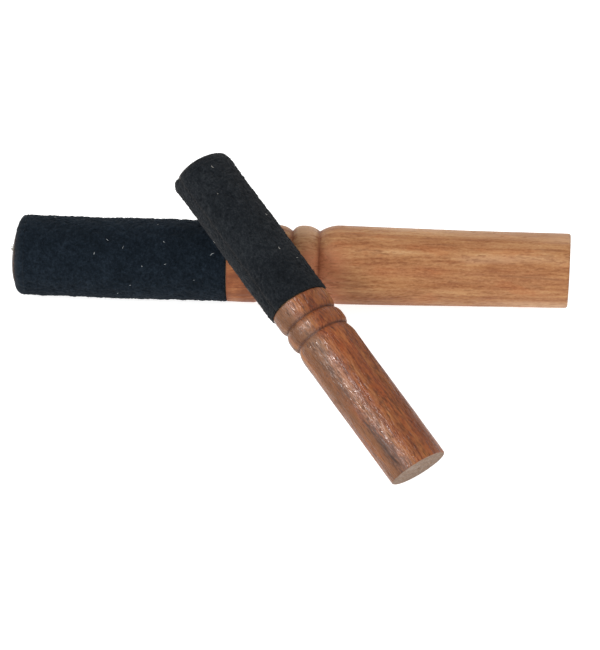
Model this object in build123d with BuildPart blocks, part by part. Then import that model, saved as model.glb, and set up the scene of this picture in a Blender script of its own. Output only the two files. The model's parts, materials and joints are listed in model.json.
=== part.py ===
from build123d import *
from math import sin, cos, asin, radians, sqrt, pi
import os

# A pair of suede-wrapped singing-bowl mallets, one large and one small.
# Each mallet is one turned hardwood stick whose striking end is rebated, a thin
# film of glue in the rebate, and one sheet of suede wrapped around it.
# The small mallet lies across the large one: its bare wood end stands on the
# ground and its suede rests on the suede of the large mallet.
# All lengths are in millimetres. +X runs along the large mallet from its suede
# end to its handle end, +Z is up, z = 0 is the ground.

# ---------------------------------------------------------------- dimensions
# large mallet; stations are measured from the tip of its rounded suede end
LARGE_LENGTH = 200.0
LARGE_SUEDE_R = 14.63            # outside of the suede
LARGE_SUEDE_THICKNESS = 1.40
LARGE_SUEDE_START = 2.00         # edge of the sheet at the rounded tip
LARGE_SUEDE_END = 77.50          # edge of the sheet at the collar
LARGE_TIP_ROUND = 3.20           # axial depth of the rounded-over wood tip
LARGE_COLLAR_R = 14.43
LARGE_BEAD_R = 13.77
LARGE_GROOVE_R = 11.90           # bottom of the three V grooves
LARGE_GROOVES = (90.00, 100.45, 110.20)
LARGE_BEAD_RISE = 3.40           # axial run of a bead's steep shoulder, suede side
LARGE_BEAD_FALL = 5.00           # axial run of its long shoulder, handle side
LARGE_COLLAR_FALL = 3.10         # axial run of the collar's shoulder
LARGE_SHOULDER_END = 117.80      # full handle diameter from here on
LARGE_HANDLE_R_FRONT = 14.20
LARGE_HANDLE_R_END = 13.27
LARGE_END_BREAK = 0.55           # rounded edge of the flat handle end
LARGE_SEAM_DEG = -26.0           # butt seam of the suede, from +Y towards +Z

# small mallet; stations are measured from its flat wood end
SMALL_LENGTH = 138.70
SMALL_SUEDE_R = 11.35
SMALL_SUEDE_THICKNESS = 1.30
SMALL_SUEDE_START = 73.60        # edge of the sheet at the collar
SMALL_SUEDE_END = 136.95         # edge of the sheet at the rounded tip
SMALL_TIP_ROUND = 2.70           # axial depth of the rounded-over wood tip
SMALL_COLLAR_R = 10.64
SMALL_BEAD_R = 10.86
SMALL_GROOVE_1 = (66.00, 9.47)   # station and bottom radius
SMALL_GROOVE_2 = (58.50, 9.73)
SMALL_SHOULDER_END = 54.00
SMALL_HANDLE_R_FRONT = 10.76     # at the shoulder
SMALL_HANDLE_R_END = 10.56       # at the flat end
SMALL_END_BREAK = 0.45
SMALL_SEAM_DEG = 20.0            # turned up from the side the seam sits on

# shared details
FILM = 0.15                      # glue between wood and suede
GLUE_BACK = 2.00                 # glue stops this far short of the sheet's edge at the tip
SEAM_GAP = 0.30                  # slit left where the two sheet edges meet
CORE_STEP_ROUND = 0.30           # worn edge of the collar beside the suede
SUEDE_TIP_RUN = 2.80             # axial run of the rounded-over suede edge
SUEDE_EDGE_ROUND = 0.45          # soft edge of the sheet beside the collar
GROOVE_FLAT = 0.30               # width of a groove's bottom

# resting pose of the small mallet
PLAN_ANGLE = 51.99               # in plan, from +X towards -Y
WOOD_END_X = 148.48              # its wood end, along the large mallet
WOOD_END_Y = -90.31              # its wood end, across the large mallet
REST_GAP = 0.18                  # left between the two naps where they touch

# ---------------------------------------------------------------- derived
LARGE_CORE_R = LARGE_SUEDE_R - LARGE_SUEDE_THICKNESS - FILM
SMALL_CORE_R = SMALL_SUEDE_R - SMALL_SUEDE_THICKNESS - FILM


def rest_direction(tilt):
    """Axis of the small mallet, from suede end to wood end, for a tilt in radians."""
    a = radians(PLAN_ANGLE)
    return (cos(tilt) * cos(a), -cos(tilt) * sin(a), -sin(tilt))


def axis_distance(tilt):
    """Distance between the two mallet axes when the wood end rim is on the ground."""
    ux, uy, uz = rest_direction(tilt)
    n = sqrt(uy * uy + uz * uz)
    height = SMALL_HANDLE_R_END * cos(tilt) - LARGE_SUEDE_R
    return abs(WOOD_END_Y * (-uz) + height * uy) / n


low, high = radians(8.0), radians(30.0)
for _ in range(60):
    middle = 0.5 * (low + high)
    if axis_distance(middle) < LARGE_SUEDE_R + SMALL_SUEDE_R + REST_GAP:
        low = middle
    else:
        high = middle
TILT = 0.5 * (low + high)
REST_DIRECTION = rest_direction(TILT)


def round_tip(core_r, depth):
    """Points (radius, depth) on a turned tip, from a nearly flat middle to the core's side."""
    return [(0.60 * core_r, 0.07 * depth), (0.86 * core_r, 0.32 * depth)]


# extent across +Y of the two mallets, so that the pair sits centred on the origin
wood_end = (WOOD_END_X, WOOD_END_Y, SMALL_HANDLE_R_END * cos(TILT))
side_y = sqrt(1.0 - REST_DIRECTION[1] ** 2)


def small_y(station, radius, sign):
    """Y of the edge of a disc on the small mallet at a station from its wood end."""
    return wood_end[1] - REST_DIRECTION[1] * station + sign * radius * side_y


top_run = [
    small_y(
        SMALL_SUEDE_END - SUEDE_TIP_RUN * (1.0 - sin(0.01 * i * pi / 2)),
        SMALL_SUEDE_R - SMALL_SUEDE_THICKNESS * (1.0 - cos(0.01 * i * pi / 2)),
        1.0,
    )
    for i in range(101)
]
y_max = max(top_run)
bottom_run = [
    small_y(
        SMALL_END_BREAK * (1.0 - sin(0.01 * i * pi / 2)),
        SMALL_HANDLE_R_END - SMALL_END_BREAK * (1.0 - cos(0.01 * i * pi / 2)),
        -1.0,
    )
    for i in range(101)
]
y_min = min(bottom_run)
# height of the lowest point of the rounded wood end, so that it just touches z = 0
rim_drop = min(
    SMALL_HANDLE_R_END * cos(TILT)
    + REST_DIRECTION[2] * -(SMALL_END_BREAK * (1.0 - sin(0.01 * i * pi / 2)))
    - (SMALL_HANDLE_R_END - SMALL_END_BREAK * (1.0 - cos(0.01 * i * pi / 2))) * cos(TILT)
    for i in range(101)
)

large_origin = Vector(-LARGE_LENGTH / 2, -0.5 * (y_max + y_min), LARGE_SUEDE_R)
large_direction = Vector(1, 0, 0)
small_origin = Vector(
    wood_end[0] - LARGE_LENGTH / 2,
    wood_end[1] - 0.5 * (y_max + y_min),
    wood_end[2] - rim_drop,
)
small_direction = Vector(*REST_DIRECTION) * -1     # from wood end to suede end

LARGE_AXIS = Axis(large_origin, large_direction)
SMALL_AXIS = Axis(small_origin, small_direction)


def half_plane(origin, direction, radial):
    """Plane whose local x is the radius and whose local y runs along the axis."""
    return Plane(origin=origin, x_dir=radial, z_dir=radial.cross(direction))


# large mallet: the sketch plane stands upright
large_plane = half_plane(large_origin, large_direction, Vector(0, 0, 1))
# small mallet: a level direction at right angles to its axis
small_level = Vector(small_direction.Y, -small_direction.X, 0).normalized()
small_plane = half_plane(small_origin, small_direction, small_level)


def rounded_shoulder(r_flat, s_flat, r_low, s_low):
    """Arc that leaves a cylinder tangentially at s_flat and drops to r_low at s_low."""
    drop, run = r_flat - r_low, abs(s_low - s_flat)
    big = (drop * drop + run * run) / (2.0 * drop)
    side = 1.0 if s_low > s_flat else -1.0
    angle = asin(run / big) / 2.0
    mid = (r_flat - big + big * cos(angle), s_flat + side * big * sin(angle))
    return mid


# ---------------------------------------------------------------- large stick
g1, g2, g3 = LARGE_GROOVES
half = GROOVE_FLAT / 2
with BuildPart() as large_stick:
    with BuildSketch(large_plane):
        with BuildLine():
            # rounded tip and rebated core
            Spline(
                (0, 0),
                *round_tip(LARGE_CORE_R, LARGE_TIP_ROUND),
                (LARGE_CORE_R, LARGE_TIP_ROUND),
                tangents=((1, 0), (0, 1)),
            )
            Line((LARGE_CORE_R, LARGE_TIP_ROUND), (LARGE_CORE_R, LARGE_SUEDE_END))
            Line(
                (LARGE_CORE_R, LARGE_SUEDE_END),
                (LARGE_COLLAR_R - CORE_STEP_ROUND, LARGE_SUEDE_END),
            )
            q = CORE_STEP_ROUND * (1 - sqrt(0.5))
            ThreePointArc(
                (LARGE_COLLAR_R - CORE_STEP_ROUND, LARGE_SUEDE_END),
                (LARGE_COLLAR_R - q, LARGE_SUEDE_END + q),
                (LARGE_COLLAR_R, LARGE_SUEDE_END + CORE_STEP_ROUND),
            )
            # collar down into the first groove
            a = g1 - half - LARGE_COLLAR_FALL
            Line(
                (LARGE_COLLAR_R, LARGE_SUEDE_END + CORE_STEP_ROUND),
                (LARGE_COLLAR_R, a),
            )
            ThreePointArc(
                (LARGE_COLLAR_R, a),
                rounded_shoulder(LARGE_COLLAR_R, a, LARGE_GROOVE_R, g1 - half),
                (LARGE_GROOVE_R, g1 - half),
            )
            # two beads
            for left, right in ((g1, g2), (g2, g3)):
                Line((LARGE_GROOVE_R, left - half), (LARGE_GROOVE_R, left + half))
                b = left + half + LARGE_BEAD_RISE
                c = right - half - LARGE_BEAD_FALL
                ThreePointArc(
                    (LARGE_GROOVE_R, left + half),
                    rounded_shoulder(LARGE_BEAD_R, b, LARGE_GROOVE_R, left + half),
                    (LARGE_BEAD_R, b),
                )
                Line((LARGE_BEAD_R, b), (LARGE_BEAD_R, c))
                ThreePointArc(
                    (LARGE_BEAD_R, c),
                    rounded_shoulder(LARGE_BEAD_R, c, LARGE_GROOVE_R, right - half),
                    (LARGE_GROOVE_R, right - half),
                )
            Line((LARGE_GROOVE_R, g3 - half), (LARGE_GROOVE_R, g3 + half))
            # shoulder, tapered handle, flat end with a broken edge
            ThreePointArc(
                (LARGE_GROOVE_R, g3 + half),
                rounded_shoulder(
                    LARGE_HANDLE_R_FRONT, LARGE_SHOULDER_END, LARGE_GROOVE_R, g3 + half
                ),
                (LARGE_HANDLE_R_FRONT, LARGE_SHOULDER_END),
            )
            Line(
                (LARGE_HANDLE_R_FRONT, LARGE_SHOULDER_END),
                (LARGE_HANDLE_R_END, LARGE_LENGTH - LARGE_END_BREAK),
            )
            q = LARGE_END_BREAK * (1 - sqrt(0.5))
            ThreePointArc(
                (LARGE_HANDLE_R_END, LARGE_LENGTH - LARGE_END_BREAK),
                (LARGE_HANDLE_R_END - q, LARGE_LENGTH - q),
                (LARGE_HANDLE_R_END - LARGE_END_BREAK, LARGE_LENGTH),
            )
            Line((LARGE_HANDLE_R_END - LARGE_END_BREAK, LARGE_LENGTH), (0, LARGE_LENGTH))
            Line((0, LARGE_LENGTH), (0, 0))
        make_face()
    revolve(axis=LARGE_AXIS)
large_stick.part.label = "large_stick"

# ---------------------------------------------------------------- large film and sleeve
with BuildPart() as large_adhesive_film:
    with BuildSketch(large_plane):
        with BuildLine():
            Polyline(
                (LARGE_CORE_R, LARGE_SUEDE_START + GLUE_BACK),
                (LARGE_CORE_R + FILM, LARGE_SUEDE_START + GLUE_BACK),
                (LARGE_CORE_R + FILM, LARGE_SUEDE_END),
                (LARGE_CORE_R, LARGE_SUEDE_END),
                close=True,
            )
        make_face()
    revolve(axis=LARGE_AXIS)
large_adhesive_film.part.label = "large_adhesive_film"


def tip_arc_mid(r_in, r_out, s_edge, s_side):
    """Middle point of the rounded-over suede edge at a rounded tip."""
    return (
        r_in + (r_out - r_in) * sin(pi / 4) * 1.04,
        s_side + (s_edge - s_side) * sin(pi / 4) * 1.04,
    )


with BuildPart() as large_suede_sleeve:
    with BuildSketch(large_plane):
        with BuildLine():
            r_in = LARGE_CORE_R + FILM
            s_side = LARGE_SUEDE_START + SUEDE_TIP_RUN
            lip = 0.25
            Line((r_in, LARGE_SUEDE_END), (r_in, LARGE_SUEDE_START))
            Line((r_in, LARGE_SUEDE_START), (r_in + lip, LARGE_SUEDE_START))
            Spline(
                (r_in + lip, LARGE_SUEDE_START),
                tip_arc_mid(r_in + lip, LARGE_SUEDE_R, LARGE_SUEDE_START, s_side),
                (LARGE_SUEDE_R, s_side),
                tangents=((1, 0), (0, 1)),
            )
            e = SUEDE_EDGE_ROUND
            Line((LARGE_SUEDE_R, s_side), (LARGE_SUEDE_R, LARGE_SUEDE_END - e))
            q = e * (1 - sqrt(0.5))
            ThreePointArc(
                (LARGE_SUEDE_R, LARGE_SUEDE_END - e),
                (LARGE_SUEDE_R - q, LARGE_SUEDE_END - q),
                (LARGE_SUEDE_R - e, LARGE_SUEDE_END),
            )
            Line((LARGE_SUEDE_R - e, LARGE_SUEDE_END), (r_in, LARGE_SUEDE_END))
        make_face()
    revolve(axis=LARGE_AXIS)
    # the butt seam: a narrow slit along the whole sheet
    seam = radians(LARGE_SEAM_DEG)
    seam_radial = Vector(0, cos(seam), sin(seam))
    seam_depth = LARGE_SUEDE_THICKNESS + 1.0
    with BuildSketch(
        Plane(
            origin=large_origin + large_direction * (LARGE_SUEDE_START - 1)
            + seam_radial * (LARGE_CORE_R + seam_depth / 2),
            x_dir=seam_radial,
            z_dir=large_direction,
        )
    ):
        Rectangle(seam_depth, SEAM_GAP)
    extrude(amount=LARGE_SUEDE_END - LARGE_SUEDE_START + 2, mode=Mode.SUBTRACT)
large_suede_sleeve.part.label = "large_suede_sleeve"

# ---------------------------------------------------------------- small stick
n1, n1_r = SMALL_GROOVE_1
n2, n2_r = SMALL_GROOVE_2
with BuildPart() as small_stick:
    with BuildSketch(small_plane):
        with BuildLine():
            q = SMALL_END_BREAK * (1 - sqrt(0.5))
            Line((0, 0), (SMALL_HANDLE_R_END - SMALL_END_BREAK, 0))
            ThreePointArc(
                (SMALL_HANDLE_R_END - SMALL_END_BREAK, 0),
                (SMALL_HANDLE_R_END - q, q),
                (SMALL_HANDLE_R_END, SMALL_END_BREAK),
            )
            Line(
                (SMALL_HANDLE_R_END, SMALL_END_BREAK),
                (SMALL_HANDLE_R_FRONT, SMALL_SHOULDER_END),
            )
            # shoulder into the second groove
            ThreePointArc(
                (SMALL_HANDLE_R_FRONT, SMALL_SHOULDER_END),
                rounded_shoulder(
                    SMALL_HANDLE_R_FRONT, SMALL_SHOULDER_END, n2_r, n2 - half
                ),
                (n2_r, n2 - half),
            )
            Line((n2_r, n2 - half), (n2_r, n2 + half))
            # bead between the grooves
            peak = 0.5 * (n1 + n2)
            ThreePointArc(
                (n2_r, n2 + half),
                rounded_shoulder(SMALL_BEAD_R, peak - 1.0, n2_r, n2 + half),
                (SMALL_BEAD_R, peak - 1.0),
            )
            Line((SMALL_BEAD_R, peak - 1.0), (SMALL_BEAD_R, peak + 0.6))
            ThreePointArc(
                (SMALL_BEAD_R, peak + 0.6),
                rounded_shoulder(SMALL_BEAD_R, peak + 0.6, n1_r, n1 - half),
                (n1_r, n1 - half),
            )
            Line((n1_r, n1 - half), (n1_r, n1 + half))
            # collar
            ThreePointArc(
                (n1_r, n1 + half),
                rounded_shoulder(SMALL_COLLAR_R, n1 + 3.2, n1_r, n1 + half),
                (SMALL_COLLAR_R, n1 + 3.2),
            )
            q = CORE_STEP_ROUND * (1 - sqrt(0.5))
            Line(
                (SMALL_COLLAR_R, n1 + 3.2),
                (SMALL_COLLAR_R, SMALL_SUEDE_START - CORE_STEP_ROUND),
            )
            ThreePointArc(
                (SMALL_COLLAR_R, SMALL_SUEDE_START - CORE_STEP_ROUND),
                (SMALL_COLLAR_R - q, SMALL_SUEDE_START - q),
                (SMALL_COLLAR_R - CORE_STEP_ROUND, SMALL_SUEDE_START),
            )
            # rebated core and rounded tip
            Line(
                (SMALL_COLLAR_R - CORE_STEP_ROUND, SMALL_SUEDE_START),
                (SMALL_CORE_R, SMALL_SUEDE_START),
            )
            Line(
                (SMALL_CORE_R, SMALL_SUEDE_START),
                (SMALL_CORE_R, SMALL_LENGTH - SMALL_TIP_ROUND),
            )
            Spline(
                (SMALL_CORE_R, SMALL_LENGTH - SMALL_TIP_ROUND),
                *[
                    (r, SMALL_LENGTH - depth)
                    for r, depth in reversed(round_tip(SMALL_CORE_R, SMALL_TIP_ROUND))
                ],
                (0, SMALL_LENGTH),
                tangents=((0, 1), (-1, 0)),
            )
            Line((0, SMALL_LENGTH), (0, 0))
        make_face()
    revolve(axis=SMALL_AXIS)
small_stick.part.label = "small_stick"

# ---------------------------------------------------------------- small film and sleeve
with BuildPart() as small_adhesive_film:
    with BuildSketch(small_plane):
        with BuildLine():
            Polyline(
                (SMALL_CORE_R, SMALL_SUEDE_START),
                (SMALL_CORE_R + FILM, SMALL_SUEDE_START),
                (SMALL_CORE_R + FILM, SMALL_SUEDE_END - GLUE_BACK),
                (SMALL_CORE_R, SMALL_SUEDE_END - GLUE_BACK),
                close=True,
            )
        make_face()
    revolve(axis=SMALL_AXIS)
small_adhesive_film.part.label = "small_adhesive_film"

with BuildPart() as small_suede_sleeve:
    with BuildSketch(small_plane):
        with BuildLine():
            r_in = SMALL_CORE_R + FILM
            s_side = SMALL_SUEDE_END - SUEDE_TIP_RUN
            lip = 0.25
            e = SUEDE_EDGE_ROUND
            q = e * (1 - sqrt(0.5))
            Line((r_in, SMALL_SUEDE_START), (SMALL_SUEDE_R - e, SMALL_SUEDE_START))
            ThreePointArc(
                (SMALL_SUEDE_R - e, SMALL_SUEDE_START),
                (SMALL_SUEDE_R - q, SMALL_SUEDE_START + q),
                (SMALL_SUEDE_R, SMALL_SUEDE_START + e),
            )
            Line((SMALL_SUEDE_R, SMALL_SUEDE_START + e), (SMALL_SUEDE_R, s_side))
            Spline(
                (SMALL_SUEDE_R, s_side),
                tip_arc_mid(r_in + lip, SMALL_SUEDE_R, SMALL_SUEDE_END, s_side),
                (r_in + lip, SMALL_SUEDE_END),
                tangents=((0, 1), (-1, 0)),
            )
            Line((r_in + lip, SMALL_SUEDE_END), (r_in, SMALL_SUEDE_END))
            Line((r_in, SMALL_SUEDE_END), (r_in, SMALL_SUEDE_START))
        make_face()
    revolve(axis=SMALL_AXIS)
    # the butt seam, on the left flank of the mallet, turned a little upwards
    flank = small_level * -1
    crown = small_direction.cross(small_level).normalized()
    if crown.Z < 0:
        crown = crown * -1
    turn = radians(SMALL_SEAM_DEG)
    seam_radial = flank * cos(turn) + crown * sin(turn)
    seam_depth = SMALL_SUEDE_THICKNESS + 1.0
    with BuildSketch(
        Plane(
            origin=small_origin + small_direction * (SMALL_SUEDE_START - 1)
            + seam_radial * (SMALL_CORE_R + seam_depth / 2),
            x_dir=seam_radial,
            z_dir=small_direction,
        )
    ):
        Rectangle(seam_depth, SEAM_GAP)
    extrude(amount=SMALL_SUEDE_END - SMALL_SUEDE_START + 2, mode=Mode.SUBTRACT)
small_suede_sleeve.part.label = "small_suede_sleeve"

# ---------------------------------------------------------------- export
os.makedirs("parts", exist_ok=True)
export_step(large_stick.part, "parts/large_stick.step")
export_step(large_adhesive_film.part, "parts/large_adhesive_film.step")
export_step(large_suede_sleeve.part, "parts/large_suede_sleeve.step")
export_step(small_stick.part, "parts/small_stick.step")
export_step(small_adhesive_film.part, "parts/small_adhesive_film.step")
export_step(small_suede_sleeve.part, "parts/small_suede_sleeve.step")
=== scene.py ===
"""Two suede-wrapped singing-bowl mallets, the small one lying across the large one."""

import json
import math

import bpy
import numpy as np
from mathutils import Matrix, Vector


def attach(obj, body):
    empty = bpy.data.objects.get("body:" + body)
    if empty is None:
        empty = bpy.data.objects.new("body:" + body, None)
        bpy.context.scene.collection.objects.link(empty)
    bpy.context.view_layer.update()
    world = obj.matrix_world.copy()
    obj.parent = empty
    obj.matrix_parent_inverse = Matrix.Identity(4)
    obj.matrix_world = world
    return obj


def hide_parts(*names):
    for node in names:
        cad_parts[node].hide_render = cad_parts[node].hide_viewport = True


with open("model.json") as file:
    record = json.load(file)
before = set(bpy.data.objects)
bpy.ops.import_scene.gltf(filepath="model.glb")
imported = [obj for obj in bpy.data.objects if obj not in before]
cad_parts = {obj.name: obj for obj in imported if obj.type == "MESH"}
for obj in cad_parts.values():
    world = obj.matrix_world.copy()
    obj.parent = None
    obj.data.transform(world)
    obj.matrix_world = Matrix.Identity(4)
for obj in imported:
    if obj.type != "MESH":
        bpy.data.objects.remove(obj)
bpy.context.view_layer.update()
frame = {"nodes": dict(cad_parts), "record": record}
MM = 0.001                         # the frame is in metres, the lengths below in millimetres
TURN = 2.0 * math.pi


# ---- the two mallets' own frames
def unit(v):
    """A vector, or each row of an array, brought to length 1."""
    v = np.array(v, float)
    return v / np.linalg.norm(v, axis=-1, keepdims=True)


class Stick:
    """s runs along the mallet in mm, phi round it in radians from side towards up."""

    def __init__(self, origin, along, side):
        self.origin, self.along, self.side = np.array(origin, float), unit(along), unit(side)
        self.up = np.cross(self.along, self.side)

    def points(self, s, phi, r):
        s, phi, r = np.broadcast_arrays(s, phi, r)
        return (
            self.origin
            + s[..., None] * self.along
            + (r * np.cos(phi))[..., None] * self.side
            + (r * np.sin(phi))[..., None] * self.up
        )

    def radial(self, phi):
        phi = np.asarray(phi)
        return np.cos(phi)[..., None] * self.side + np.sin(phi)[..., None] * self.up


mounts = {m["name"]: m for m in frame["record"]["mounts"]}
large_end = np.array(mounts["large_handle_end"]["pos_m"]) / MM
small_end = np.array(mounts["small_handle_end"]["pos_m"]) / MM
small_axis = unit(mounts["small_handle_end"]["axis"])
L_LENGTH, S_LENGTH = 200.0, 138.7
LARGE = Stick(large_end - np.array([L_LENGTH, 0, 0]), (1, 0, 0), (0, 1, 0))
SMALL = Stick(small_end, -small_axis, (small_axis[1], -small_axis[0], 0.0))
if SMALL.up[2] < 0:
    SMALL = Stick(small_end, -small_axis, (-small_axis[1], small_axis[0], 0.0))


# ---- the camera's place
ELEVATION, AZIMUTH, ROLL = math.radians(47.866), math.radians(3.276), math.radians(-0.616)
TARGET, DISTANCE = np.array([4.03, large_end[1] - 16.675, 0.0]), 1619.06
FOCAL_PX, PICTURE_PX, SENSOR_MM = 4500.0, 650.0, 36.0
level = np.array([math.cos(AZIMUTH), math.sin(AZIMUTH), 0.0])
back = np.array([level[1], -level[0], 0.0]) * math.cos(ELEVATION)
back[2] = math.sin(ELEVATION)
rise = np.cross(back, level)
right = math.cos(ROLL) * level + math.sin(ROLL) * rise
upward = -math.sin(ROLL) * level + math.cos(ROLL) * rise
EYE = TARGET + back * DISTANCE


def facing(stick, s):
    """Angle round the mallet of the line that faces the camera at station s."""
    k = EYE - (stick.origin + stick.along * s)
    return math.atan2(k @ stick.up, k @ stick.side)


FACE_L, FACE_S = facing(LARGE, 150.0), facing(SMALL, 60.0)
DOWN_L = FACE_L + math.pi / 2      # lower outline of the large mallet in the view
LEFT_S = FACE_S - math.pi / 2      # left outline of the small mallet in the view


# ---- seeded noise on a skin
def spline_rows(pos, count, wrap):
    """Cubic B-spline weights that read a row of count random numbers at each pos."""
    base = np.floor(pos).astype(int)
    f = pos - base
    w = [(1 - f) ** 3, 3 * f**3 - 6 * f**2 + 4, -3 * f**3 + 3 * f**2 + 3 * f + 1, f**3]
    w = np.stack(w, 1) / 6.0
    m = np.zeros((len(pos), count))
    for k in range(4):
        idx = base - 1 + k
        idx = idx % count if wrap else np.clip(idx, 0, count - 1)
        np.add.at(m, (np.arange(len(pos)), idx), w[:, k])
    return m


def skin_noise(s, phi, radius, cell_s, cell_a, seed):
    """Unit-variance noise over stations s and angles phi, with cells of cell_s by cell_a mm."""
    rng = np.random.default_rng(seed)
    around = max(4, int(round(TURN * radius / cell_a)))
    rows = int((s.max() - s.min()) / cell_s) + 5
    table = rng.standard_normal((rows, around))
    a = spline_rows((s - s.min()) / cell_s + 1.0, rows, False)
    b = spline_rows((phi % TURN) / TURN * around, around, True)
    out = a @ table @ b.T
    return out / max(out.std(), 1e-6)


def smooth(x, lo, hi):
    """0 up to lo, 1 from hi on, and a soft step between."""
    t = np.clip((x - lo) / (hi - lo), 0, 1)
    return t * t * (3 - 2 * t)


def fall(x, lo, hi):
    """1 up to lo, 0 from hi on."""
    return 1 - smooth(x, lo, hi)


def bell(x, centre, width):
    """1 at the centre, dying away over about the width on both sides."""
    return np.exp(-(((x - centre) / width) ** 2))


def zero(*at):
    """Nothing anywhere: the default of every option that is a function."""
    return 0.0 * sum(at)


def away_from(phi, centre):
    """Angle from centre to phi, from minus half a turn to half a turn."""
    return (phi - centre + math.pi) % TURN - math.pi


# ---- meshes
def new_mesh(name, verts_mm, faces, attributes=None, smooth_shade=True):
    mesh = bpy.data.meshes.new(name)
    mesh.from_pydata((np.asarray(verts_mm) * MM).tolist(), [], faces)
    for key, values in (attributes or {}).items():
        layer = mesh.attributes.new(key, "FLOAT", "POINT")
        layer.data.foreach_set("value", np.asarray(values, np.float32).ravel())
    mesh.polygons.foreach_set("use_smooth", [smooth_shade] * len(mesh.polygons))
    mesh.update()
    obj = bpy.data.objects.new(name, mesh)
    bpy.context.scene.collection.objects.link(obj)
    return obj


def grid_faces(rows, cols, wrap, first=0):
    """Quads between rows rings of cols points each."""
    i = np.arange(rows - 1)[:, None] * cols
    j = np.arange(cols if wrap else cols - 1)[None, :]
    k = (j + 1) % cols
    quads = np.stack([i + j, i + k, i + cols + k, i + cols + j], -1).reshape(-1, 4) + first
    return quads.tolist()


def shoulder(r_flat, s_flat, r_low, s_low, n):
    """Turned shoulder: leaves the cylinder tangentially at s_flat, drops to r_low at s_low."""
    drop, run = r_flat - r_low, abs(s_low - s_flat)
    big = (drop * drop + run * run) / (2 * drop)
    side = 1.0 if s_low > s_flat else -1.0
    top = math.asin(run / big)
    return [
        (s_flat + side * big * math.sin(top * k / n), r_flat - big * (1 - math.cos(top * k / n)))
        for k in range(n + 1)
    ]


def joined(*runs):
    """One profile from its runs, without the points that two runs share."""
    out = []
    for run in runs:
        for p in run:
            if not out or math.dist(out[-1], p) > 1e-6:
                out.append(p)
    return out


def line(s0, r0, s1, r1, n):
    """Straight run of a profile from (s0, r0) to (s1, r1) in n steps."""
    return [(s0 + (s1 - s0) * (k / n), r0 + (r1 - r0) * (k / n)) for k in range(n + 1)]


def cut(s_edge, s_in, r_edge, r_in, n):
    """Small rounded edge from the side (s_in, r_edge) to the face (s_edge, r_in)."""
    angles = [0.5 * math.pi * k / n for k in range(n + 1)]
    run, drop = s_edge - s_in, r_edge - r_in
    return [(s_in + run * math.sin(a), r_in + drop * math.cos(a)) for a in angles]


def pore_field(s, phi, radius, count, seed, length, depth, figure, spots):
    """Open vessels of the wood: short shallow slits along the grain, on the grid s by phi.

    They gather where the figure is dark and round the spots."""
    rng = np.random.default_rng(seed)
    field = np.zeros((len(s), len(phi)))
    step = TURN / len(phi)
    lo, hi = s.min(), s.max()
    made = 0
    for _ in range(count * 12):
        if made == count:
            break
        if spots and rng.random() < 0.12:
            c_phi, w_phi, c_s, w_s = spots[rng.integers(len(spots))]
            p0 = (c_phi + rng.normal() * w_phi) % TURN
            s0 = c_s + rng.normal() * w_s
        else:
            p0, s0 = rng.random() * TURN, lo + rng.random() * (hi - lo)
        row = int(np.clip(np.searchsorted(s, s0), 0, len(s) - 1))
        col = int(p0 / step) % len(phi)
        if rng.random() > 0.15 + 0.85 * smooth(figure[row, col], -0.6, 1.6):
            continue
        span = length * (0.35 + 1.1 * rng.random())
        deep = depth * (0.45 + 0.8 * rng.random())
        lean = rng.normal() * 0.006
        wide = rng.random() < 0.35
        rows = np.nonzero((s > s0) & (s < s0 + span))[0]
        for i in rows:
            t = (s[i] - s0) / span
            d = deep * math.sin(math.pi * t) ** 0.6
            c = int(round((p0 + lean * (s[i] - s0) / radius * 10) / step)) % len(phi)
            field[i, c] = max(field[i, c], d)
            if wide:
                field[i, (c + 1) % len(phi)] = max(field[i, (c + 1) % len(phi)], d * 0.7)
        made += 1
    return field


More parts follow.
